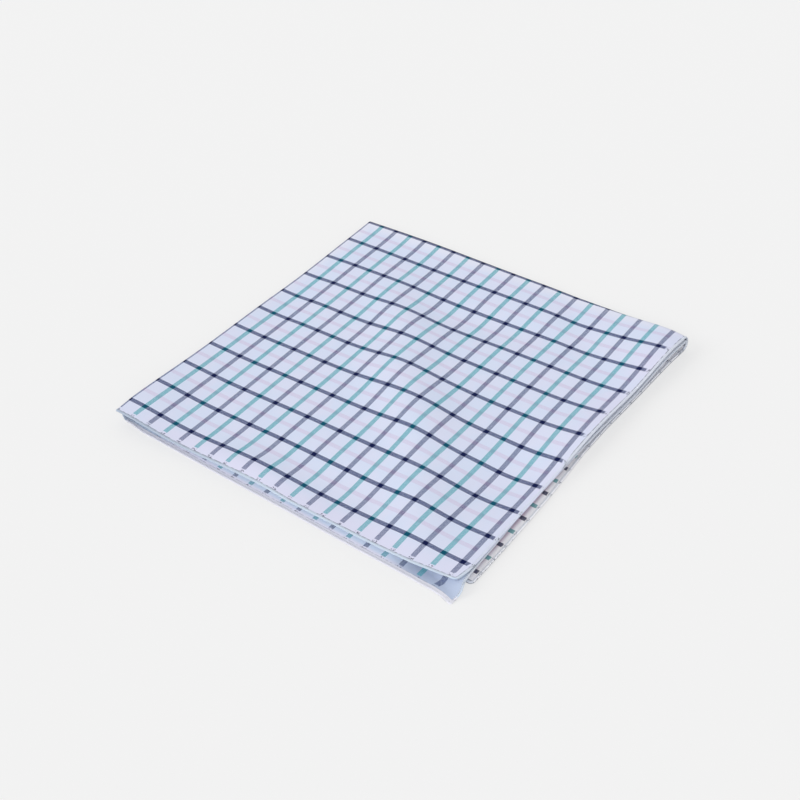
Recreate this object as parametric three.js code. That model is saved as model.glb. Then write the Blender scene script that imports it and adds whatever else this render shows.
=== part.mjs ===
import * as THREE from 'three';

// A square cotton bandana folded twice into a four-layer square, lying on a table.
// Millimetres, +Z up, table at z = 0. X runs along the front hems, from the left fold to the right hems.
// Y runs from the front hems to the back fold. The whole cloth is one closed solid.

const clothThickness = 1.0;
const layerStep = 1.3;      // from the middle of one layer to the middle of the next, where they touch
const topRest = 6.8;        // middle of the top layer, before its swells
const floorRest = 0.5;      // middle of the lowest layer
const backLine = 139.0;     // middle of the cloth at the back fold
const backSample = 135.0;   // where the heights at the back fold are read
const drapeStart = -134.6;  // the second layer falls to the table in front of this line
const drapeReach = 8.5;

// Each layer's plan: its left fold and right hem, at the back and at the front,
// and its front hem, at the left and at the right.
const layers = {
  top: { leftBack: -137.5, leftFront: -138.5, rightBack: 134.5, rightFront: 133.0, frontLeft: -140.5, frontRight: -142.0 },
  second: { leftBack: -137.5, leftFront: -138.5, rightBack: 136.0, rightFront: 132.5, frontLeft: -141.0, frontRight: -151.5 },
  third: { leftBack: -137.5, leftFront: -135.5, rightBack: 136.0, rightFront: 139.5, frontLeft: -133.2, frontRight: -133.2 },
  lowest: { leftBack: -137.5, leftFront: -135.5, rightBack: 134.5, rightFront: 138.0, frontLeft: -133.0, frontRight: -133.0 },
};

// The soft swells and hollows of the top layer. A reach is the distance to about 60 % of the height,
// first along the swell, then across it. turn is the direction along it, in degrees from X.
// second is the share that the layer below follows.
const swells = [
  { place: 'front left corner', x: -140, y: -142, height: 4.6, along: 24, across: 46, turn: 0, second: 0.15 },
  { place: 'back right corner', x: 138, y: 124, height: 5.2, along: 22, across: 34, turn: 0, second: 0.92 },
  { place: 'middle of the right side', x: 140, y: 24, height: 2.6, along: 18, across: 30, turn: 0, second: 0.92 },
  { place: 'long ridge over the middle', x: 10, y: -14, height: 4.0, along: 40, across: 18, turn: -56, second: 0.85 },
  { place: 'hollow near the front right', x: 107, y: -56, height: -2.1, along: 22, across: 26, turn: 0, second: 1 },
  { place: 'trough behind the middle', x: -5, y: 86, height: -1.4, along: 40, across: 20, turn: 0, second: 1 },
  { place: 'back fold, left part', x: -85, y: 138, height: 1.2, along: 40, across: 14, turn: 0, second: 1 },
  { place: 'front hem, left part', x: -30, y: -138, height: 1.6, along: 26, across: 14, turn: 0, second: 0.8 },
];

// Segments of the mesh. A leg is the flat part of a layer, a bend is the half circle of a fold.
const acrossLeg = 18;
const acrossBend = 6;
const lowerLeg = 8;
const backBend = 8;
const upperLeg = 16;
const drapeRows = 4;
const acrossCount = acrossLeg + acrossBend + acrossLeg;
const alongCount = lowerLeg + backBend + upperLeg + drapeRows;

function mix(a, b, share) {
  return a + (b - a) * share;
}

function smooth(value) {
  const held = Math.min(1, Math.max(0, value));
  return held * held * (3 - 2 * held);
}

function swellShape(swell, x, y) {
  const turn = THREE.MathUtils.degToRad(swell.turn);
  const dx = x - swell.x;
  const dy = y - swell.y;
  const along = (dx * Math.cos(turn) + dy * Math.sin(turn)) / swell.along;
  const across = (dy * Math.cos(turn) - dx * Math.sin(turn)) / swell.across;
  return swell.height * Math.exp(-0.5 * (along * along + across * across));
}

function topHeight(x, y) {
  return swells.reduce((sum, swell) => sum + swellShape(swell, x, y), topRest);
}

function secondHeight(x, y, planY) {
  const rest = topRest - layerStep;
  const lying = swells.reduce((sum, swell) => sum + swell.second * swellShape(swell, x, y), rest);
  return mix(lying, floorRest, smooth((drapeStart - planY) / drapeReach));
}

// Where a point stands across the cloth. side is +1 on the top and lowest layers, -1 on the two inner ones,
// and runs between them around the left fold. reach is 0 at the left fold and 1 at the right hem.
function placeAcross(i) {
  const angle = THREE.MathUtils.clamp((i - acrossLeg - acrossBend / 2) / (acrossBend / 2), -1, 1) * Math.PI / 2;
  const overLeg = Math.abs(i - acrossCount / 2) - acrossBend / 2;
  return { side: Math.sin(angle), inset: 1 - Math.cos(angle), reach: Math.max(0, overLeg / acrossLeg) };
}

// Where a point stands along the cloth. turn is 0 on the two upper layers, 1 on the two lower ones,
// and runs between them around the back fold. reach is 0 at the back fold and 1 at the front hem.
function placeAlong(j) {
  const bendEnd = lowerLeg + backBend;
  const turn = THREE.MathUtils.clamp((bendEnd - j) / backBend, 0, 1);
  if (j <= lowerLeg) {
    return { turn, reach: (lowerLeg - j) / lowerLeg, drape: 0 };
  }
  const over = Math.max(0, j - bendEnd);
  return { turn, reach: Math.min(1, over / upperLeg), drape: Math.max(0, (over - upperLeg) / drapeRows) };
}

// The left fold, right hem and front hem of the two layers that meet at one turn of the back fold.
function planOf(half, side, acrossReach, alongReach) {
  const inner = half === 'upper' ? layers.second : layers.third;
  const outer = half === 'upper' ? layers.top : layers.lowest;
  const share = (1 + side) / 2;
  const value = (name) => mix(inner[name], outer[name], share);
  return {
    left: mix(value('leftBack'), value('leftFront'), alongReach),
    right: mix(value('rightBack'), value('rightFront'), alongReach),
    front: mix(value('frontLeft'), value('frontRight'), acrossReach),
  };
}

// The middle of the cloth at mesh place (i, j), where i and j need not be whole numbers.
function clothMiddle(i, j) {
  const across = placeAcross(i);
  const along = placeAlong(j);
  const half = j >= lowerLeg + backBend / 2 ? 'upper' : 'lower';
  const alongReach = half === 'upper' ? mix(0.97 * along.reach, 1, along.drape) : along.reach;
  const plan = planOf(half, across.side, across.reach, alongReach);
  const share = (1 + across.side) / 2;
  const lowHeight = mix(floorRest + layerStep, floorRest, share);

  // Heights at the back fold set the size of its bend.
  const backX = mix(plan.left + layerStep / 2, plan.right, across.reach);
  const backHigh = mix(secondHeight(backX, backSample, backSample), topHeight(backX, backSample), share);
  const bendRadius = (backHigh - lowHeight) / 2;
  const bendY = backLine - layerStep * (1 - share) - bendRadius;

  if (half === 'upper' && along.turn === 0) {
    const legFront = mix(bendY, drapeStart + 1, along.reach);
    const planY = mix(legFront, plan.front, along.drape);
    const readY = mix(mix(backSample, drapeStart + 1, along.reach), plan.front, along.drape);
    const nearX = plan.left + 2;
    const loopRadius = (topHeight(nearX, readY) - secondHeight(nearX, readY, planY)) / 2;
    const readX = mix(nearX, plan.right, across.reach);
    const high = mix(secondHeight(readX, readY, planY), topHeight(readX, readY), share);
    const x = mix(plan.left + loopRadius * across.inset, plan.right, across.reach);
    return new THREE.Vector3(x, planY, high);
  }

  const x = mix(plan.left + layerStep / 2 * across.inset, plan.right, across.reach);
  if (along.turn === 1) {
    return new THREE.Vector3(x, mix(bendY, plan.front, along.reach), lowHeight);
  }
  const angle = along.turn * Math.PI;
  const bendZ = (backHigh + lowHeight) / 2;
  return new THREE.Vector3(x, bendY + bendRadius * Math.sin(angle), bendZ + bendRadius * Math.cos(angle));
}

// Direction out of the cloth, from two short steps on its middle.
function clothNormal(i, j) {
  const step = 0.02;
  const i0 = Math.max(0, i - step);
  const i1 = Math.min(acrossCount, i + step);
  const j0 = Math.max(0, j - step);
  const j1 = Math.min(alongCount, j + step);
  const alongI = clothMiddle(i1, j).sub(clothMiddle(i0, j));
  const alongJ = clothMiddle(i, j1).sub(clothMiddle(i, j0));
  return alongI.cross(alongJ).normalize();
}

// A flat board with the cloth's segments is bent point by point into the folded cloth.
function foldedCloth() {
  const board = new THREE.BoxGeometry(acrossCount, alongCount, clothThickness, acrossCount, alongCount, 1);
  const points = board.attributes.position;
  for (let k = 0; k < points.count; k += 1) {
    const i = Math.round(points.getX(k) + acrossCount / 2);
    const j = Math.round(points.getY(k) + alongCount / 2);
    const place = clothMiddle(i, j).addScaledVector(clothNormal(i, j), points.getZ(k));
    points.setXYZ(k, place.x, place.y, place.z);
  }
  board.computeVertexNormals();
  return board;
}

const shape = foldedCloth();
shape.computeBoundingBox();
const middle = shape.boundingBox.getCenter(new THREE.Vector3());
shape.translate(-middle.x, -middle.y, 0);

const cotton = new THREE.MeshStandardMaterial({ color: 0xdfe2f4, roughness: 0.9, metalness: 0 });
const cloth = new THREE.Mesh(shape, cotton);
cloth.name = 'cloth';

const bandana = new THREE.Group();
bandana.name = 'folded_bandana';
bandana.add(cloth);

export default bandana;
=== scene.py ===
# A checked cotton bandana, folded twice and laid on a pale table.
# Sizes are in millimetres, on a square centred on the folded cloth. The meshes are in metres, in the frame of
# the part.

import math
import bpy
import numpy as np
from mathutils import Matrix, Vector


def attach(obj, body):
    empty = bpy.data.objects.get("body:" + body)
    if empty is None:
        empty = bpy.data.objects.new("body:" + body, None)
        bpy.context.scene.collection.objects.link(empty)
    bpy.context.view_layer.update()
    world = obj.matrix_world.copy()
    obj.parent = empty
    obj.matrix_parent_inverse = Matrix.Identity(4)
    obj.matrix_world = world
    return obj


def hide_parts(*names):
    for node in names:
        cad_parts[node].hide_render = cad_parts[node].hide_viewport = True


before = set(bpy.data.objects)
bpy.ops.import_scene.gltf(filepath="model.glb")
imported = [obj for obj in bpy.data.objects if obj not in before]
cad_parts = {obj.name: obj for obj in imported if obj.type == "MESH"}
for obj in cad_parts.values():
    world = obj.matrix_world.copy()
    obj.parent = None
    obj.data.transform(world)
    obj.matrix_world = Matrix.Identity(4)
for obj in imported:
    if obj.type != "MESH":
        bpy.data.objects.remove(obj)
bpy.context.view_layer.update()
print("bandana: frame loaded")

bandanaCloth = {
    "foldToHem": 272.0,      # left fold to right hem, along the cloth
    "backToFront": 282.3,    # back fold to front hem, upper pair of layers
    "backToFrontLow": 274.0,
    "leftX": -137.5,
    "backY": 137.5,
    "thickness": 0.5,
    "layerStep": 0.94,       # middle to middle of layers that touch
    "topRest": 6.75,         # middle of the top layer over the table
    "lowRest": 0.54,         # middle of the lowest layer
    "cornerRound": 3.5,
    "tipRound": 1.8,         # the second layer's corner is sharper
    "cornerReach": 14.0,
    "drawnFront": 60.0,      # how far in from the hem lines the cloth is drawn to them
    "drawnSide": 40.0,
    "edgeRound": 0.5,
    "beadReach": 1.7,        # the overlocked edge is thicker over this width
    "beadExtra": 0.16,
    "beadInFront": 0.2,      # share of that on the second layer
    "beadSlope": 0.5,
    "shiftX": -0.25,         # from this square to the frame of the part
    "shiftY": 6.0,
}

# The lower pair lies a little further back than the upper one, most along its left fold, whose front end is
# moved to the right.
lowerPair = {"backAtFold": 10.0, "backAtHem": 1.2, "thirdRight": 3.0, "lowestRight": 3.4}

# Where the cloth ends: its front hem from the second layer's right end (minus) to the top layer's (plus).
frontHem = {
    "u": [-272, -250, -150, -20, 0, 25, 83, 118, 132, 146, 175, 220, 240, 252, 262, 272],
    "v": [284.5, 286.2, 283.8, 281.3, 278.8, 279.2, 279.8, 279.8, 280.2, 281.4, 281.9, 282.6, 282.4, 281.2,
          280.2, 279.4],
}
# And its two side hems, from the front of the lower pair (minus) over the back fold to the front of the upper
# pair (plus).
outerSideHem = {
    "v": [-272, -238, -209, -186, -171, -156, -140, -109, -72, -26, -5, 10, 100, 120, 150, 165, 185, 240, 266,
          272, 277, 282],
    "u": [275.8, 275.8, 275.3, 274.6, 273.8, 272.8, 271.8, 271.6, 272.8, 273.6, 275.0, 275.0, 273.3, 273.0,
          272.2, 271.6, 271.2, 271.5, 271.6, 271.4, 270.6, 269.6],
}
innerSideHem = {
    "v": [-272, -238, -209, -186, -171, -156, -140, -109, -72, -26, -5, 10, 60, 100, 130, 160, 200, 262, 282],
    "u": [276.2, 276.2, 275.8, 275.0, 274.2, 273.2, 272.2, 271.8, 272.9, 273.8, 275.2, 276.2, 275.2, 274.8,
          273.8, 272.0, 271.4, 274.2, 275.6],
}

# Stretches where a side hem is rolled under a little, by v: from there on, and over how long it begins and
# ends.
rolledUnder = {
    "depth": 2.3,
    "secondFrom": 180.0, "secondBegins": 30.0,
    "thirdBegins": 20.0,
    "topFrom": 148.0, "topBegins": 20.0, "topTo": 272.0, "topEnds": 8.0,
}

# Soft swells and hollows of the two upper layers: reaches along and across, and the turn in degrees from X.
topSwells = [
    {"x": -133.5, "y": -138.0, "height": 4.8, "along": 25, "across": 50, "turn": 13},   # front left corner
    {"x": 135.0, "y": 109.5, "height": 6.1, "along": 20, "across": 37, "turn": 31},     # back right corner
    {"x": 142.5, "y": 21.5, "height": 4.8, "along": 19, "across": 34, "turn": -16},     # right side
    {"x": -43.5, "y": 51.5, "height": 3.7, "along": 31, "across": 14.5, "turn": -40},   # ridge, back end
    {"x": -9.0, "y": -3.0, "height": 4.0, "along": 25, "across": 16, "turn": -46},      # ridge, middle
    {"x": 31.5, "y": -36.0, "height": 4.0, "along": 24, "across": 16, "turn": -53},     # ridge, front end
    {"x": 108.0, "y": -49.5, "height": -3.4, "along": 16, "across": 28, "turn": -6},    # hollow on the right
    {"x": 3.0, "y": 74.0, "height": -1.8, "along": 40, "across": 12, "turn": 8},        # trough at the back
    {"x": -84.0, "y": 141.5, "height": 1.4, "along": 41, "across": 9.5, "turn": -2},    # back fold, left
    {"x": -30.5, "y": -130.5, "height": 2.5, "along": 26, "across": 9, "turn": 4},      # front hem, left
    {"x": -131.5, "y": 44.5, "height": -1.8, "along": 13.5, "across": 43, "turn": 15},  # left side
    {"x": 74.5, "y": -98.5, "height": 2.9, "along": 35, "across": 13.5, "turn": -55},   # low ridge, front
    {"x": 67.5, "y": 106.5, "height": -1.2, "along": 30, "across": 8.5, "turn": -50},   # dip behind the right
    {"x": 21.0, "y": -117.0, "height": -1.9, "along": 31, "across": 13, "turn": 3},     # dip at the front hem
]

# Places where the top layer is pulled a little out of square.
topPulls = [
    {"x": -118.5, "y": -110.0, "pullX": 0.5, "pullY": -1.3, "reachX": 38, "reachY": 48},  # left front
    {"x": 64.5, "y": -48.0, "pullX": 1.1, "pullY": -1.6, "reachX": 22, "reachY": 39},     # right of the ridge
    {"x": 97.5, "y": 24.0, "pullX": -0.7, "pullY": -0.1, "reachX": 30, "reachY": 38},     # right middle
    {"x": -15.0, "y": -41.0, "pullX": 0.8, "pullY": 0.5, "reachX": 36, "reachY": 57},     # on the ridge
    {"x": -50.5, "y": 55.5, "pullX": 1.2, "pullY": -1.7, "reachX": 38, "reachY": 43},     # back of the ridge
    {"x": 103.5, "y": -113.0, "pullX": 0.4, "pullY": -1.5, "reachX": 30, "reachY": 25},   # right front
]

# The second layer's front hem on the table, and how much of the layer lies flat behind it.
frontDrape = {
    "x": [-138.5, -132, -126, -118, -48, 8, 44, 90, 113, 124, 130, 134, 137],
    "hemY": [-138.4, -137.8, -138.8, -140.2, -143.9, -146.2, -148.2, -150.0, -151.1, -151.4, -152.4, -154.2,
             -155.4],
    "flat": [4.5, 5.5, 6.5, 7.1, 8.8, 10.3, 11.1, 11.1, 9.8, 6.6, 4.8, 3.6, 3.0],
    "fall": 12.0,              # length of the slope behind that
    "cornerFall": 13.0,        # length of the fall from the left fold, at the front corner
    "cornerFrom": -88.0,
    "cornerTo": -134.0,
    "cornerWide": 80.0,        # the fall fades out to this far from the left fold
    "cornerFade": 60.0,
    "looseness": 0.12,         # the layer lies lower than it would touch, by this share of a step
    "looseReach": 40.0,
    "foldClear": 0.05,
    "sideDroop": 1.2,          # how far its right hem hangs under the top layer's
    "droopFrom": -60.0,
    "droopBegins": 40.0,
    "edgeFrom": 264.0,         # along the cloth from the left fold
    "edgeReach": 9.0,
    "edgeBulge": 1.7,          # its right edge bulges out here as it falls
    "bulgeAt": -145.5,
    "bulgeReach": 4.6,
}

# How far the second layer has slid to the left along its front hem, by its place along the cloth.
secondSlide = {
    "run": [0, 12, 26, 40, 53, 80, 119, 145, 200, 225, 251, 264, 272],
    "slide": [0, -6.4, -7.2, -7.4, -7.4, -6.8, -6.8, -6.5, -6.1, -5.7, -5.4, -4.2, -1.0],
    "pullX": -2.4, "pullAt": 124.0, "pullReach": 9.0, "pullFrom": -141.0, "pullTo": -149.0,
}

# The back fold slips forward towards its right end.
backFold = {"slipLeft": 0.3, "slipRight": 8.6, "slipFrom": 20.0, "slipTo": 138.0, "slipPower": 2.2}

# The left fold bulges out a little between its ends.
leftBulge = {
    "v": [0, 30, 70, 120, 190, 240, 262, 274, 290],
    "out": [0.2, 0.5, 1.0, 1.4, 1.1, 1.2, 1.2, 0.5, 0.0],
    "reach": 14.0,
}


# From a to b by a share.
def mix(a, b, share):
    return a + (b - a) * share


# Three times the square less twice the cube, between 0 and 1.
def smooth(value):
    held = np.clip(value, 0.0, 1.0)
    return held * held * (3.0 - 2.0 * held)


# Sum over the swells of height times exp of minus half the squared distance in reaches.
def swellHeight(x, y):
    total = np.zeros_like(x)
    for swell in topSwells:
        turn = math.radians(swell["turn"])
        dx, dy = x - swell["x"], y - swell["y"]
        along = (dx * math.cos(turn) + dy * math.sin(turn)) / swell["along"]
        across = (dy * math.cos(turn) - dx * math.sin(turn)) / swell["across"]
        total = total + swell["height"] * np.exp(-0.5 * (along ** 2 + across ** 2))
    return total


# Each pull moves a point by its amount times exp of minus half the squared distance in reaches.
def pulledPlace(x, y):
    for pull in topPulls:
        dx, dy = (x - pull["x"]) / pull["reachX"], (y - pull["y"]) / pull["reachY"]
        near = np.exp(-0.5 * (dx ** 2 + dy ** 2))
        x, y = x + pull["pullX"] * near, y + pull["pullY"] * near
    return x, y


# The middle of the folded cloth, in millimetres. u runs from the left fold, plus on the top and lowest layers
# and minus on the two inner ones; v runs from the back fold, plus on the upper pair and minus on the lower.
# Around the left fold side is the sine of the turn; around the back fold height follows the cosine.
def foldedCloth(u, v):
    cloth = bandanaCloth
    loop = cloth["layerStep"] / 2
    turn = np.clip(u / loop, -math.pi / 2, math.pi / 2)
    side = (1 + np.sin(turn)) / 2                     # 1 outer layers, 0 inner layers
    inset = loop * (1 - np.cos(turn))
    run = np.maximum(np.abs(u) - loop * math.pi / 2, 0)
    a = run / cloth["foldToHem"]
    bTop = np.clip(v / cloth["backToFront"], 0, 1)
    bLow = np.clip(-v / cloth["backToFrontLow"], 0, 1)

    plainX = cloth["leftX"] + run
    slipShare = np.clip((plainX - backFold["slipFrom"]) / (backFold["slipTo"] - backFold["slipFrom"]), 0, 1)
    slip = mix(backFold["slipLeft"], backFold["slipRight"], slipShare ** backFold["slipPower"])
    lowSlide = mix(lowerPair["backAtFold"], lowerPair["backAtHem"], a)
    bendLength = 2 * slip + lowSlide
    angle = np.clip((slip - v) / bendLength, 0, 1) * math.pi
    heldV = np.maximum(v, slip)

    # upper pair
    plainY = cloth["backY"] - heldV
    rise = swellHeight(plainX, plainY)
    topX, topY = pulledPlace(plainX + inset, plainY)
    bulge = np.interp(v, leftBulge["v"], leftBulge["out"]) * (1 - smooth(run / leftBulge["reach"]))
    topX = topX - bulge
    topZ = cloth["topRest"] + rise
    slid = secondSlide
    secondX = plainX + inset - bulge + np.interp(run, slid["run"], slid["slide"]) * bTop
    hemY = np.interp(secondX, frontDrape["x"], frontDrape["hemY"])
    secondY = cloth["backY"] - heldV * (cloth["backY"] - hemY) / np.interp(u, frontHem["u"], frontHem["v"])
    nearPull = np.exp(-((secondX - slid["pullAt"]) / slid["pullReach"]) ** 2)
    inFront = smooth((slid["pullFrom"] - secondY) / (slid["pullFrom"] - slid["pullTo"]))
    secondX = secondX + slid["pullX"] * nearPull * inFront
    drape = frontDrape
    nearEdge = smooth((run - drape["edgeFrom"]) / drape["edgeReach"])
    bulgeShare = np.exp(-((secondY - drape["bulgeAt"]) / drape["bulgeReach"]) ** 2)
    secondX = secondX + drape["edgeBulge"] * bulgeShare * nearEdge
    lying = topZ - cloth["layerStep"] * (1 + drape["looseness"] * smooth(run / drape["looseReach"]))
    droop = smooth((secondY - drape["droopFrom"]) / drape["droopBegins"])
    lying = lying - drape["sideDroop"] * nearEdge * droop
    corner = smooth((drape["cornerFrom"] - secondY) / (drape["cornerFrom"] - drape["cornerTo"]))
    fallen = np.clip(run / drape["cornerFall"], 0, 1)
    fromFold = mix(cloth["lowRest"] + drape["foldClear"], lying, (1 - fallen) ** 2)
    nearFold = smooth((cloth["leftX"] + drape["cornerWide"] - secondX) / drape["cornerFade"])
    lying = mix(lying, fromFold, corner * nearFold)
    flat = np.interp(secondX, drape["x"], drape["flat"])
    onTable = smooth((secondY - hemY - flat) / drape["fall"])
    onTable = mix(1.0, onTable, 1 - (1 - fallen) ** 2)
    secondZ = mix(cloth["lowRest"], lying, onTable)
    upperX, upperY, upperZ = mix(secondX, topX, side), mix(secondY, topY, side), mix(secondZ, topZ, side)

    # lower pair
    plainLowY = cloth["backY"] + np.minimum(v, slip - bendLength)
    lowX = plainX + inset + mix(lowerPair["thirdRight"], lowerPair["lowestRight"], side) * (1 - a) * bLow
    lowY = plainLowY + lowSlide
    lowZ = mix(cloth["lowRest"] + cloth["layerStep"], cloth["lowRest"], side)

    # the back fold joins them
    bend = (upperZ - lowZ) / 2
    x = mix(upperX, lowX, (1 - np.cos(angle)) / 2)
    y = np.where(v < slip - bendLength, lowY, upperY + bend * np.sin(angle))
    z = (upperZ + lowZ) / 2 + bend * np.cos(angle)
    return np.stack([x, y, z], axis=-1)


# Minus the cross product of the two directions along the cloth, so it points up on the top layer.
def clothNormal(u, v, step=0.05):
    alongU = foldedCloth(u + step, v) - foldedCloth(u - step, v)
    alongV = foldedCloth(u, v + step) - foldedCloth(u, v - step)
    normal = -np.cross(alongU, alongV)
    return normal / np.linalg.norm(normal, axis=-1, keepdims=True)


# From millimetres on the square to metres in the frame of the part.
def toFrame(places):
    shift = np.array([bandanaCloth["shiftX"], bandanaCloth["shiftY"], 0.0])
    return (places + shift) / 1000.0


# Where the mesh lines run: close together at folds and hems. A span's stop is counted back from the hem if it
# is minus.
meshLines = {
    "fromHem": [0.0, 0.05, 0.2, 0.5, 1.15, 1.45, 1.75, 2.6, 4.0],
    "fromLeftFold": [0.0, 0.17, 0.35, 0.52, 0.8, 1.6, 3.0],
    "across": {"start": 5.5, "stop": -6.5, "size": 3.0},
    "backFold": {"start": -22.0, "stop": 12.0, "size": 0.9},
    "upper": {"start": 14.0, "stop": 270.0, "size": 3.0},
    "upperFront": {"start": 271.0, "stop": -5.2, "size": 1.1},
    "lower": {"start": 24.0, "stop": -8.0, "size": 6.0},
}


# Even lines over one span.
def spanLines(name, hem=0.0):
    span = meshLines[name]
    stop = span["stop"] if span["stop"] > 0 else hem + span["stop"]
    return np.linspace(span["start"], stop, max(2, int(round(abs(stop - span["start"]) / span["size"])) + 1))


# All lines across the cloth, by u, and along it, by v.
def clothLines():
    cloth = bandanaCloth
    fromHem = np.array(meshLines["fromHem"])
    half = np.concatenate([meshLines["fromLeftFold"], spanLines("across", cloth["foldToHem"]),
                           np.sort(cloth["foldToHem"] - fromHem)])
    acrossLines = np.concatenate([-half[:0:-1], half])
    upper = np.concatenate([spanLines("upper"), spanLines("upperFront", cloth["backToFront"]),
                            np.sort(cloth["backToFront"] - fromHem)])
    lower = np.concatenate([spanLines("lower", cloth["backToFrontLow"]),
                            np.sort(cloth["backToFrontLow"] - fromHem)])
    alongLines = np.concatenate([-lower[::-1], spanLines("backFold"), upper])
    return acrossLines, alongLines


# From a square grid to the cloth: the outer part of the grid is drawn in or out, by a smooth share, to the
# hem lines. Near a corner it is narrower by the radius less the root of its square minus the square of the
# overlap.
def clothPlace(gridU, gridV):
    cloth = bandanaCloth
    frontV = np.interp(gridU, frontHem["u"], frontHem["v"]) - cloth["backToFront"]
    v = gridV + frontV * smooth((gridV - cloth["backToFront"] + cloth["drawnFront"]) / cloth["drawnFront"])
    sideU = np.where(gridU > 0, np.interp(gridV, outerSideHem["v"], outerSideHem["u"]),
                     np.interp(gridV, innerSideHem["v"], innerSideHem["u"])) - cloth["foldToHem"]
    near = smooth((np.abs(gridU) - cloth["foldToHem"] + cloth["drawnSide"]) / cloth["drawnSide"])
    radius = np.where((gridU < 0) & (gridV > 0), cloth["tipRound"], cloth["cornerRound"])
    over = (np.maximum(gridV - (cloth["backToFront"] - radius), 0)
            + np.maximum(-gridV - (cloth["backToFrontLow"] - radius), 0))
    cut = radius - np.sqrt(np.maximum(radius ** 2 - np.minimum(over, radius) ** 2, 0))
    cut = cut * smooth((np.abs(gridU) - cloth["foldToHem"] + cloth["cornerReach"]) / cloth["cornerReach"])
    return gridU + np.sign(gridU) * (sideU * near - cut), v


# Distance to the nearest hem on the grid. Where a side hem is rolled under a little, its needle line is not
# seen: on the second and third layers, and on the top layer near the front right corner.
def hemDistance(u, v):
    cloth, rolled = bandanaCloth, rolledUnder
    onSecond = smooth((v - rolled["secondFrom"]) / rolled["secondBegins"])
    onThird = smooth(-v / rolled["thirdBegins"])
    topBegun = smooth((v - rolled["topFrom"]) / rolled["topBegins"])
    onTop = topBegun * smooth((rolled["topTo"] - v) / rolled["topEnds"])
    under = rolled["depth"] * np.where(u < 0, np.maximum(onSecond, onThird), onTop)
    toFront = np.where(v > 0, cloth["backToFront"] - v, cloth["backToFrontLow"] + v)
    return np.minimum(cloth["foldToHem"] - np.abs(u) + under, toFront)


# How much thicker the overlocked edge is, on each face, by the distance to it.
def hemBead(gridU, gridV, toEdge):
    cloth = bandanaCloth
    share = np.where((gridU < 0) & (gridV > 0), cloth["beadInFront"], 1.0)
    return cloth["beadExtra"] * share * smooth((cloth["beadReach"] - toEdge) / cloth["beadSlope"])


def layMesh(name, verts, faces, smoothFaces=True):
    mesh = bpy.data.meshes.new(name)
    mesh.from_pydata(verts.tolist(), [], faces.tolist())
    mesh.polygons.foreach_set("use_smooth", np.full(len(mesh.polygons), smoothFaces))
    mesh.update()
    piece = bpy.data.objects.new(name, mesh)
    bpy.context.scene.collection.objects.link(piece)
    return piece


# Two sheets, half a thickness either side of the middle, that meet in a round edge along the hems.
def makeBandana():
    cloth = bandanaCloth
    acrossLines, alongLines = clothLines()
    gridU, gridV = np.meshgrid(acrossLines, alongLines, indexing="ij")
    u, v = clothPlace(gridU, gridV)
    distance = hemDistance(gridU, gridV)
    toEdge = np.minimum(cloth["foldToHem"] - np.abs(gridU),
                        np.where(gridV > 0, cloth["backToFront"] - gridV, cloth["backToFrontLow"] + gridV))
    rounding = np.clip(1 - toEdge / cloth["edgeRound"], 0, 1)
    half = cloth["thickness"] / 2 + hemBead(gridU, gridV, toEdge)
    half = half * np.sqrt(np.maximum(1 - rounding ** 2, 0))
    middle, normal = foldedCloth(u, v), clothNormal(u, v)
    outer = middle + normal * half[..., None]
    inner = middle - normal * half[..., None]
    rows, columns = u.shape
    outerIndex = np.arange(rows * columns).reshape(rows, columns)
    onEdge = np.zeros((rows, columns), dtype=bool)
    onEdge[0, :] = onEdge[-1, :] = onEdge[:, 0] = onEdge[:, -1] = True
    innerIndex = np.where(onEdge, outerIndex, 0)
    innerIndex[~onEdge] = rows * columns + np.arange((~onEdge).sum())
    verts = np.concatenate([outer.reshape(-1, 3), inner[~onEdge]])

    def quads(index, flip):
        corners = [index[:-1, :-1], index[:-1, 1:], index[1:, 1:], index[1:, :-1]]
        corners = corners if flip else corners[::-1]
        return np.stack(corners, axis=-1).reshape(-1, 4)

    faces = np.concatenate([quads(outerIndex, True), quads(innerIndex, False)])
    piece = layMesh("bandanaCloth", toFrame(verts), faces)
    flatU = np.concatenate([u.reshape(-1), u[~onEdge]])
    flatV = np.concatenate([v.reshape(-1), v[~onEdge]])
    flatD = np.concatenate([distance.reshape(-1), distance[~onEdge]])
    layer = piece.data.uv_layers.new(name="clothPlace")
    corner = np.zeros(len(piece.data.loops), dtype=np.int32)
    piece.data.loops.foreach_get("vertex_index", corner)
    layer.data.foreach_set("uv", (np.stack([flatU, flatV], axis=-1)[corner] / 1000.0).reshape(-1))
    attribute = piece.data.attributes.new("hemDistance", "FLOAT", "POINT")
    attribute.data.foreach_set("value", (flatD / 1000.0).astype(np.float32))
    return piece


bandana = makeBandana()
print("bandana: cloth folded,", len(bandana.data.polygons), "faces")

# The white overlock thread along the hems.
hemThread = {
    "pitch": 1.2,        # one stitch along the hem
    "depth": 1.75,       # needle line to edge
    "halfWidth": 0.24,
    "halfHeight": 0.09,
    "endGap": 1.5,       # left free at the corners
    "pastEdge": 0.1,
    "innerPhase": 0.35,  # the strand on the inner face is set off by this along the hem
    "edgeLift": 0.05,    # height over the middle of the cloth at its edge, and then over its face
    "liftReach": 0.45,
    "liftShare": 0.6,
    "dark": (0.60, 0.67, 0.76),   # its two shades, mixed by fine noise
    "pale": (0.76, 0.80, 0.87),
    "fuzz": 2600.0,
    "surface": {"Roughness": 0.85, "Specular IOR Level": 0.3, "Sheen Weight": 0.15},
}


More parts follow.
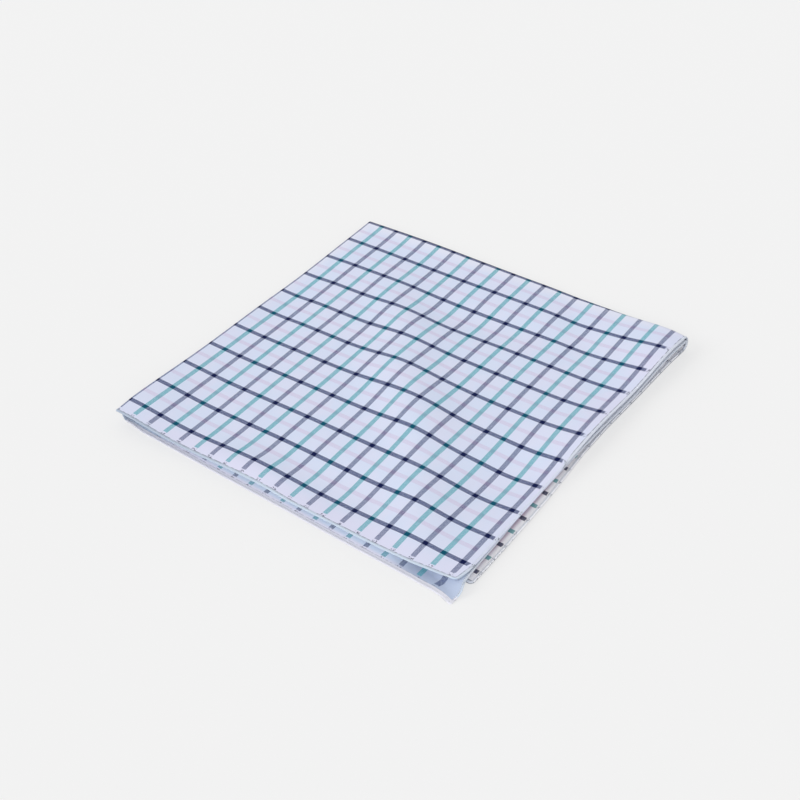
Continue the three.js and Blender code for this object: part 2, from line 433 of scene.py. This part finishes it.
# Grid places at a distance inside one of the four hems, travel millimetres along it.
def hemPath(sideName, distance, travel):
    cloth = bandanaCloth
    if sideName == "outerSide":
        return cloth["foldToHem"] - distance, travel - cloth["backToFrontLow"]
    if sideName == "innerSide":
        return distance - cloth["foldToHem"], travel - cloth["backToFrontLow"]
    if sideName == "front":
        return travel - cloth["foldToHem"], cloth["backToFront"] - distance
    return travel - cloth["foldToHem"], distance - cloth["backToFrontLow"]


# A flat ribbon that runs to and fro between the needle line and the edge, on one face of the cloth: its
# distance from the edge is a triangle wave of the travel along the hem.
def strand(sideName, length, face, phase):
    size = hemThread
    count = int((length - 2 * size["endGap"]) / size["pitch"])
    corner = np.arange(count * 4 + 1)
    travel = size["endGap"] + corner * size["pitch"] / 4 + phase
    toAndFro = np.abs((corner % 4) - 2) / 2.0
    distance = size["depth"] * toAndFro - size["pastEdge"]
    gridU, gridV = hemPath(sideName, distance, travel)
    u, v = clothPlace(gridU, gridV)
    normal = clothNormal(u, v) * face
    surface = bandanaCloth["thickness"] / 2 + hemBead(gridU, gridV, distance)
    onFace = surface + size["halfHeight"] * size["liftShare"]
    lift = mix(size["edgeLift"], onFace, np.clip(distance / size["liftReach"], 0, 1))
    centre = foldedCloth(u, v) + normal * lift[:, None]
    along = np.gradient(centre, axis=0)
    along /= np.linalg.norm(along, axis=-1, keepdims=True)
    across = np.cross(normal, along)
    ring = np.stack([centre + across * size["halfWidth"], centre + normal * size["halfHeight"],
                     centre - across * size["halfWidth"], centre - normal * size["halfHeight"]], axis=1)
    stations = len(centre)
    index = np.arange(stations * 4).reshape(stations, 4)
    turned = np.roll(index, -1, axis=1)
    walls = np.stack([index[:-1], turned[:-1], turned[1:], index[1:]], axis=-1).reshape(-1, 4)
    ends = np.stack([index[0][::-1], index[-1]])
    return ring.reshape(-1, 3), np.concatenate([walls, ends])


# One strand on each face of each of the four hems.
def makeHemThread():
    cloth = bandanaCloth
    sideLength, frontLength = cloth["backToFront"] + cloth["backToFrontLow"], 2 * cloth["foldToHem"]
    sides = {"outerSide": sideLength, "innerSide": sideLength, "front": frontLength, "frontLow": frontLength}
    verts, faces, count = [], [], 0
    for sideName, length in sides.items():
        for face, phase in ((1, 0.0), (-1, hemThread["innerPhase"])):
            places, corners = strand(sideName, length, face, phase)
            verts.append(places)
            faces.append(corners + count)
            count += len(places)
    return layMesh("hemThread", toFrame(np.concatenate(verts)), np.concatenate(faces))


thread = makeHemThread()
print("bandana: hems stitched,", len(thread.data.polygons), "faces")

# The woven check: sizes, yarn colours and how the yarns cross.
wovenCheck = {
    "pitch": 13.22,            # from one stripe to the next
    "halfAlongY": 1.67,        # half the width of the stripes that run along Y
    "halfAlongX": 1.65,
    "stripeSoft": 0.08,
    "kindSoft": 1.0,           # where the stripes' colour changes, halfway between two of them
    "yarn": 0.42,              # width of one yarn
    "yarnSoft": 0.15,
    "innerFrom": -1.0,         # u past which the two inner layers begin
    "foldFade": 0.05,          # the painted glow along the left fold fades towards the front by this share of v
    "ground": (0.64, 0.70, 0.86),
    "groundWarm": (0.665, 0.70, 0.857),
    "groundSecondLit": (0.76, 0.86, 1.0),   # painted light on the second layer, in front: brighter and bluer, for the light that comes through the top layer and under its edge
    "slate": (0.006, 0.029, 0.136),
    "teal": (0.0, 0.33, 0.385),
    "navy": (0.001, 0.020, 0.122),
    "pink": (0.60, 0.53, 0.70),
    "warpOver": -0.15,         # in their stripes, yarns along Y lie on top where the wave is over this
    "warpOverNavy": 0.42,      # and in the navy stripes across them
    "crossSlate": (0.002, 0.006, 0.055),
    "crossTeal": (0.0, 0.075, 0.13),
    "crossingDark": 0.95,      # where two dark stripes cross, hardly any white yarn is left
    "lowerNavy": (0.035, 0.03, 0.06),    # the stripes along X on the lower pair are faded
    "lowerTeal": (0.02, 0.25, 0.27),
    "lowerFade": 0.55,
    "frayScale": 700.0,
    "frayDepth": 1.2,
    "looseEnd": (0.06, 0.07, 0.12),
    "needleLine": 1.95,        # from the edge
    "needleInFront": 1.3,      # further in on the second layer
    # painted shade in the groove between the thread and the cloth at the needle line
    "needleShade": (0.12, 0.13, 0.17),
    "needleDark": 0.85,
    "needleDarkFront": 0.6,
    "needleHidden": 0.5,       # share of it that is lost on the table in front
    "edge": (0.66, 0.69, 0.78),          # outside the needle line, under the thread
    "edgeFront": (0.53, 0.63, 0.76),
    "bumpStrength": 0.35,
    "bumpDepth": 0.00006,      # metres
    "surface": {"Roughness": 0.95, "Specular IOR Level": 0.15, "Sheen Weight": 0.04, "Sheen Roughness": 0.5},
}

# Tints of the ground, most of them painted light or shade: each starts and is full at these millimetres to a
# fold, to the hem, or along u.
paintedLightAndTints = {
    # painted light: a lighter, warmer glow along the folds
    "foldGlow": {"colour": (0.72, 0.74, 0.86), "start": 13.0, "full": 1.0},
    "hem": {"colour": (0.69, 0.685, 0.85), "start": 20.0, "full": 6.0},
    "lower": {"colour": (0.62, 0.50, 0.62), "start": 30.0, "full": 16.0},     # on the lower pair: painted shadow of the top layer's edge
    # painted light on the lower pair near its hem, out of that shadow
    "lowerHemLit": {"colour": (0.97, 0.96, 1.0), "start": 8.6, "full": 5.4},
    "secondHemLit": {"colour": (0.86, 0.85, 0.97), "start": 6.4, "full": 3.6},       # painted light on the second layer near its hem, out of the top layer's shade
    "tipShade": {"colour": (0.45, 0.52, 0.67), "start": -222.0, "full": -250.0},   # painted shade on its right end, the corner that falls to the table, by u
    # painted shade on its left end, which falls steeply at the front left corner, by u
    "corner": {"colour": (0.52, 0.62, 0.76), "start": -62.0, "full": -34.0},
}

# What comes and goes near the hem, by the distance to the hem or to its needle line, or along v.
hemFades = {
    "stripe": {"start": 5.0, "full": 5.6},
    "pinkStripe": {"start": 7.2, "full": 8.7},
    "fleckInner": {"start": 4.2, "full": 3.6},
    "fleckOuter": {"start": 1.85, "full": 2.35},
    # painted contact shadow along the right hem's outer edge
    "rightShadowEdge": {"start": 2.9, "full": 2.3},
    "outside": {"start": 0.05, "full": -0.15},   # to the needle line
    "needle": {"start": 0.34, "full": 0.16},
    "atFront": {"start": 262.0, "full": 276.0},  # along v
}

# Noises over the cloth: the range low to high is spread over least to most.
clothNoises = {
    "warm": {"scale": 38.0, "detail": 3.0, "low": 0.42, "high": 0.60, "least": 0.0, "most": 1.0},
    "hemPatches": {"scale": 16.0, "detail": 1.0, "low": 0.40, "high": 0.60, "least": 0.28, "most": 0.80},
    "flecks": {"scale": 1000.0, "detail": 1.0, "low": 0.50, "high": 0.57, "least": 0.0, "most": 0.9},
    "needleShadeDashes": {"scale": 420.0, "detail": 1.0, "low": 0.36, "high": 0.56, "least": 0.0, "most": 1.0},
}

# Stretches of hem painted with light or shade: lighter on the table in front, painted shade at the front left
# corner, painted contact shadow on the table on the right. Each starts and is full at these metres in the
# part's frame.
hemLightAndShade = {
    # painted shade at the front left corner, on the cloth and on its thread
    "frontLeft": {"cloth": (0.43, 0.50, 0.61), "thread": (0.50, 0.57, 0.68),
                  "X": {"start": 0.01, "full": -0.11}, "Y": {"start": -0.126, "full": -0.131}},
    "frontLow": {"cloth": (0.76, 0.76, 0.84), "thread": (0.78, 0.78, 0.85),     # painted light: lighter where the hem lies on the table in front
                 "Y": {"start": -0.129, "full": -0.132}, "Z": {"start": 0.0020, "full": 0.0014}},
    "rightLowShadow": {"cloth": (0.30, 0.32, 0.37), "thread": (0.28, 0.30, 0.34),     # painted contact shadow where the hem lies on the table on the right
                 "X": {"start": 0.1295, "full": 0.1325}, "Y": {"start": -0.1465, "full": -0.1440},
                 "Z": {"start": 0.0011, "full": 0.0008}},
}


# Short calls for the nodes of one dyed material.
class Dye:
    def __init__(self, name):
        self.material = bpy.data.materials.new(name)
        self.material.use_nodes = True
        self.tree = self.material.node_tree
        self.tree.nodes.clear()
        self.output = self.tree.nodes.new("ShaderNodeOutputMaterial")
        self.surface = self.tree.nodes.new("ShaderNodeBsdfPrincipled")
        self.tree.links.new(self.surface.outputs[0], self.output.inputs[0])

    def feed(self, socket, value):
        if isinstance(value, bpy.types.NodeSocket):
            self.tree.links.new(value, socket)
        elif value is not None:
            socket.default_value = value

    def calc(self, operation, a, b=None):
        node = self.tree.nodes.new("ShaderNodeMath")
        node.operation = operation
        self.feed(node.inputs[0], a)
        self.feed(node.inputs[1], b)
        return node.outputs[0]

    def ramp(self, value, start, full, least=0.0, most=1.0):
        node = self.tree.nodes.new("ShaderNodeMapRange")
        node.interpolation_type = "SMOOTHSTEP"
        for name, amount in zip(("Value", "From Min", "From Max", "To Min", "To Max"),
                                (value, start, full, least, most)):
            self.feed(node.inputs[name], amount)
        return node.outputs[0]

    def blend(self, share, first, second):
        node = self.tree.nodes.new("ShaderNodeMix")
        node.data_type = "RGBA"
        self.feed(node.inputs["Factor"], share)
        for socket, value in ((node.inputs[6], first), (node.inputs[7], second)):   # its two colours
            self.feed(socket, value if isinstance(value, bpy.types.NodeSocket) else (*value, 1.0))
        return node.outputs[2]

    def noise(self, vector, scale, detail=2.0):
        node = self.tree.nodes.new("ShaderNodeTexNoise")
        self.feed(node.inputs["Vector"], vector)
        self.feed(node.inputs["Scale"], scale)
        self.feed(node.inputs["Detail"], detail)
        return node.outputs[0]

    # how much of each stretch of hem with painted light or shade is at a point
    def hemLightAndShadeShares(self):
        place = self.tree.nodes.new("ShaderNodeTexCoord")
        split = self.tree.nodes.new("ShaderNodeSeparateXYZ")
        self.feed(split.inputs[0], place.outputs["Object"])
        shares = {}
        for name, stretch in hemLightAndShade.items():
            shares[name] = 1.0
            for axis in "XYZ":
                if axis in stretch:
                    within = self.ramp(split.outputs[axis], stretch[axis]["start"], stretch[axis]["full"])
                    shares[name] = self.calc("MULTIPLY", shares[name], within)
        return shares

    def finish(self, colour, surface):
        self.feed(self.surface.inputs["Base Color"], colour)
        for name, value in surface.items():
            self.surface.inputs[name].default_value = value
        return self.material


def makeCheckedCotton():
    look = wovenCheck
    dye = Dye("checkedCotton")
    calc, ramp, blend = dye.calc, dye.ramp, dye.blend
    place = dye.tree.nodes.new("ShaderNodeUVMap")
    place.uv_map = "clothPlace"
    split = dye.tree.nodes.new("ShaderNodeSeparateXYZ")
    dye.feed(split.inputs[0], place.outputs[0])
    u, v = calc("MULTIPLY", split.outputs[0], 1000.0), calc("MULTIPLY", split.outputs[1], 1000.0)
    hem = dye.tree.nodes.new("ShaderNodeAttribute")
    hem.attribute_name = "hemDistance"
    toHem = calc("MULTIPLY", hem.outputs["Fac"], 1000.0)

    def both(a, b):
        return calc("MULTIPLY", a, b)

    def stripe(fromMiddle, half):
        return ramp(fromMiddle, half + look["stripeSoft"], half - look["stripeSoft"])

    def tint(name, distance, under, share=1.0):
        row = paintedLightAndTints[name]
        return blend(both(ramp(distance, row["start"], row["full"]), share), under, row["colour"])

    def fade(name, distance):
        return ramp(distance, hemFades[name]["start"], hemFades[name]["full"])

    def cloudy(name):
        row = clothNoises[name]
        return ramp(dye.noise(place.outputs[0], row["scale"], row["detail"]), row["low"], row["high"],
                    row["least"], row["most"])

    # stripes: distance to the nearest stripe by a triangle wave, and which of the two colours it has
    pitch = look["pitch"]
    stripeU = stripe(calc("PINGPONG", u, pitch / 2), look["halfAlongY"])
    oddU = ramp(calc("PINGPONG", u, pitch), pitch / 2 - look["kindSoft"], pitch / 2 + look["kindSoft"])
    fromNavy = calc("PINGPONG", v, pitch)
    stripeNavy = stripe(fromNavy, look["halfAlongX"])
    stripePink = stripe(calc("SUBTRACT", pitch, fromNavy), look["halfAlongX"])   # teal on the lower pair
    lowerHalf = calc("LESS_THAN", v, 0.0)
    innerLayer = calc("LESS_THAN", u, look["innerFrom"])

    # plain weave: one set of yarns is on top where the product of two sines is over a limit
    wave = both(calc("SINE", calc("MULTIPLY", u, math.pi / look["yarn"])),
                calc("SINE", calc("MULTIPLY", v, math.pi / look["yarn"])))
    limit = calc("ADD", both(calc("MULTIPLY", stripeU, look["warpOver"]), calc("SUBTRACT", 1.0, stripeNavy)),
                 calc("MULTIPLY", stripeNavy, look["warpOverNavy"]))
    warpUp = ramp(calc("SUBTRACT", wave, limit), -look["yarnSoft"], look["yarnSoft"])

    # the white ground, its random warm tone and hem tint, and painted light and shade: a glow along the
    # folds, light on the second layer with shade at its ends, and on the lower pair the top layer's shadow
    # with light near its hem
    ground = blend(cloudy("warm"), look["ground"], look["groundWarm"])
    toLeftFold = calc("ADD", calc("ABSOLUTE", u), calc("MULTIPLY", v, look["foldFade"]))
    toFold = calc("MINIMUM", calc("ABSOLUTE", v), toLeftFold)
    ground = tint("foldGlow", toFold, ground)
    ground = tint("hem", toHem, ground, cloudy("hemPatches"))
    second = tint("secondHemLit", toHem, look["groundSecondLit"])
    second = tint("corner", u, tint("tipShade", u, second))
    ground = blend(innerLayer, ground, second)
    lower = tint("lowerHemLit", toHem, tint("lower", toHem, ground))
    ground = blend(lowerHalf, ground, lower)

    # the coloured yarns, which end in the hem; the pink ones are too pale to show on the second layer
    fray = calc("MULTIPLY", dye.noise(place.outputs[0], look["frayScale"], 1.0), look["frayDepth"])
    inside = fade("stripe", calc("ADD", toHem, fray))
    pinkShows = both(fade("pinkStripe", toHem), calc("SUBTRACT", 1.0, innerLayer))
    pinkShows = calc("MAXIMUM", both(inside, lowerHalf), pinkShows)
    warp = blend(both(stripeU, inside), ground, blend(oddU, look["slate"], look["teal"]))
    weft = blend(both(stripeNavy, inside), ground, look["navy"])
    weft = blend(both(stripePink, pinkShows), weft, blend(lowerHalf, look["pink"], look["teal"]))
    woven = blend(warpUp, weft, warp)
    crossing = both(both(stripeU, stripeNavy), inside)
    bothDark = blend(oddU, look["crossSlate"], look["crossTeal"])
    woven = blend(calc("MULTIPLY", crossing, look["crossingDark"]), woven, bothDark)
    onLower = both(both(calc("MAXIMUM", stripeNavy, stripePink), inside), lowerHalf)
    faded = blend(stripePink, look["lowerNavy"], look["lowerTeal"])
    woven = blend(calc("MULTIPLY", onLower, look["lowerFade"]), woven, faded)

    # loose ends of the coloured yarns show between the needle line and the end of the stripes
    nearLine = both(fade("fleckOuter", toHem), fade("fleckInner", toHem))
    stripes = calc("MAXIMUM", stripeU, calc("MAXIMUM", stripeNavy, both(stripePink, lowerHalf)))
    colour = blend(both(both(nearLine, stripes), cloudy("flecks")), woven, look["looseEnd"])

    # outside the needle line the cloth is bluer along the front hem, with painted light or shade by the
    # stretch of hem
    inFront = both(innerLayer, calc("SUBTRACT", 1.0, lowerHalf))
    needleAt = calc("ADD", look["needleLine"], calc("MULTIPLY", inFront, look["needleInFront"]))
    fromNeedle = calc("SUBTRACT", toHem, needleAt)
    atFront = fade("atFront", v)
    edge = fade("outside", fromNeedle)
    shares = dye.hemLightAndShadeShares()
    colour = blend(edge, colour, blend(atFront, look["edge"], look["edgeFront"]))
    colour = blend(both(edge, shares["frontLeft"]), colour, hemLightAndShade["frontLeft"]["cloth"])
    colour = blend(both(edge, shares["frontLow"]), colour, hemLightAndShade["frontLow"]["cloth"])
    rightShadow = both(fade("rightShadowEdge", toHem), shares["rightLowShadow"])
    colour = blend(rightShadow, colour, hemLightAndShade["rightLowShadow"]["cloth"])

    # painted shade in the groove along the needle line, broken into short dashes
    dark = both(cloudy("needleShadeDashes"), ramp(atFront, 0.0, 1.0, look["needleDark"], look["needleDarkFront"]))
    needle = both(fade("needle", calc("ABSOLUTE", fromNeedle)), dark)
    hidden = calc("MAXIMUM", shares["rightLowShadow"], calc("MULTIPLY", shares["frontLow"], look["needleHidden"]))
    colour = blend(both(needle, calc("SUBTRACT", 1.0, hidden)), colour, look["needleShade"])

    bump = dye.tree.nodes.new("ShaderNodeBump")
    dye.feed(bump.inputs["Strength"], look["bumpStrength"])
    dye.feed(bump.inputs["Distance"], look["bumpDepth"])
    dye.feed(bump.inputs["Height"], calc("ABSOLUTE", wave))
    dye.feed(dye.surface.inputs["Normal"], bump.outputs[0])
    return dye.finish(colour, look["surface"])


def makeOverlockThread():
    look = hemThread
    dye = Dye("overlockThread")
    place = dye.tree.nodes.new("ShaderNodeTexCoord")
    fuzz = dye.noise(place.outputs["Object"], look["fuzz"])
    colour = dye.blend(fuzz, look["dark"], look["pale"])
    # painted light and shade on the thread, by the stretch of hem
    for name, share in dye.hemLightAndShadeShares().items():
        colour = dye.blend(share, colour, hemLightAndShade[name]["thread"])
    return dye.finish(colour, look["surface"])


bandana.data.materials.append(makeCheckedCotton())
thread.data.materials.append(makeOverlockThread())
print("bandana: cloth dyed")

# A pale table and soft light all round.
studio = {
    "floorHalf": 4.0,             # metres
    "floorZ": -0.0002,
    "floorColour": (0.3, 0.3, 0.3),
    "floorMottle": 1.004,
    "mottleScale": 3.0,
    "floorSurface": {"Roughness": 0.9, "Specular IOR Level": 0.1, "Emission Color": (1.0, 1.0, 1.0, 1.0),
                     "Emission Strength": 0.58},   # lit through from below, so that its shadows are faint
    "skyColour": (1.0, 1.0, 1.0, 1.0),
    "skyStrength": 0.716,
    "lampAngle": 34.0,
    "lamps": {
        "keyLight": {"way": (-0.55, -0.60, 0.50), "strength": 0.954},   # from the front left
        "fillLight": {"way": (0.40, -0.60, 0.45), "strength": 0.85},    # from the front right
    },
}


def makeTable():
    half, low = studio["floorHalf"], studio["floorZ"]
    corners = np.array([(-half, -half, low), (half, -half, low), (half, half, low), (-half, half, low)])
    piece = layMesh("paleTable", corners, np.array([[0, 1, 2, 3]]), False)
    dye = Dye("paleTable")
    place = dye.tree.nodes.new("ShaderNodeTexCoord")
    shade = dye.noise(place.outputs["Object"], studio["mottleScale"], 1.0)
    pale = studio["floorColour"]
    brighter = tuple(part * studio["floorMottle"] for part in pale)
    piece.data.materials.append(dye.finish(dye.blend(shade, pale, brighter), studio["floorSurface"]))
    return piece


def makeLight():
    for name, lampLook in studio["lamps"].items():
        data = bpy.data.lights.new(name, "SUN")
        data.energy = lampLook["strength"]
        data.angle = math.radians(studio["lampAngle"])
        lamp = bpy.data.objects.new(name, data)
        lamp.rotation_euler = Vector(lampLook["way"]).to_track_quat("Z", "Y").to_euler()
        bpy.context.scene.collection.objects.link(lamp)
    world = bpy.data.worlds.new("softStudio")
    world.use_nodes = True
    sky = world.node_tree.nodes["Background"]
    sky.inputs["Color"].default_value = studio["skyColour"]
    sky.inputs["Strength"].default_value = studio["skyStrength"]
    bpy.context.scene.world = world
    bpy.context.scene.view_settings.view_transform = "Standard"


lookingCamera = {
    "azimuth": 37.2175,     # degrees from straight in front, towards +X
    "elevation": 39.1167,
    "roll": -2.5752,
    "far": 1007.25,         # from the middle of the top layer, along the view
    "sideways": -7.891,
    "upwards": -17.328,
    "aimHeight": 7.0,
    "lens": 67.263,
    "sensor": 36.0,
    "clipNear": 0.01,       # metres
    "clipFar": 50.0,
}


def makeCamera():
    look = lookingCamera
    a, e, r = (math.radians(look[name]) for name in ("azimuth", "elevation", "roll"))
    back = Vector((math.sin(a) * math.cos(e), -math.cos(a) * math.cos(e), math.sin(e)))
    right = Vector((math.cos(a), math.sin(a), 0.0))
    up = back.cross(right)
    rolledRight = right * math.cos(r) + up * math.sin(r)
    rolledUp = up * math.cos(r) - right * math.sin(r)
    place = rolledRight * look["sideways"] + rolledUp * look["upwards"] + back * look["far"]
    place += Vector((bandanaCloth["shiftX"], bandanaCloth["shiftY"], look["aimHeight"]))
    data = bpy.data.cameras.new("photoCamera")
    data.lens = look["lens"]
    data.sensor_width = look["sensor"]
    data.clip_start, data.clip_end = look["clipNear"], look["clipFar"]
    camera = bpy.data.objects.new("photoCamera", data)
    turned = Matrix((rolledRight, rolledUp, back)).transposed().to_4x4()
    camera.matrix_world = Matrix.Translation(place / 1000.0) @ turned
    bpy.context.scene.collection.objects.link(camera)
    bpy.context.scene.camera = camera


table = makeTable()
makeLight()
makeCamera()
print("bandana: table, light and camera placed")

for piece in (bandana, thread):
    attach(piece, "root")
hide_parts("cloth")

print("bandana: ready")
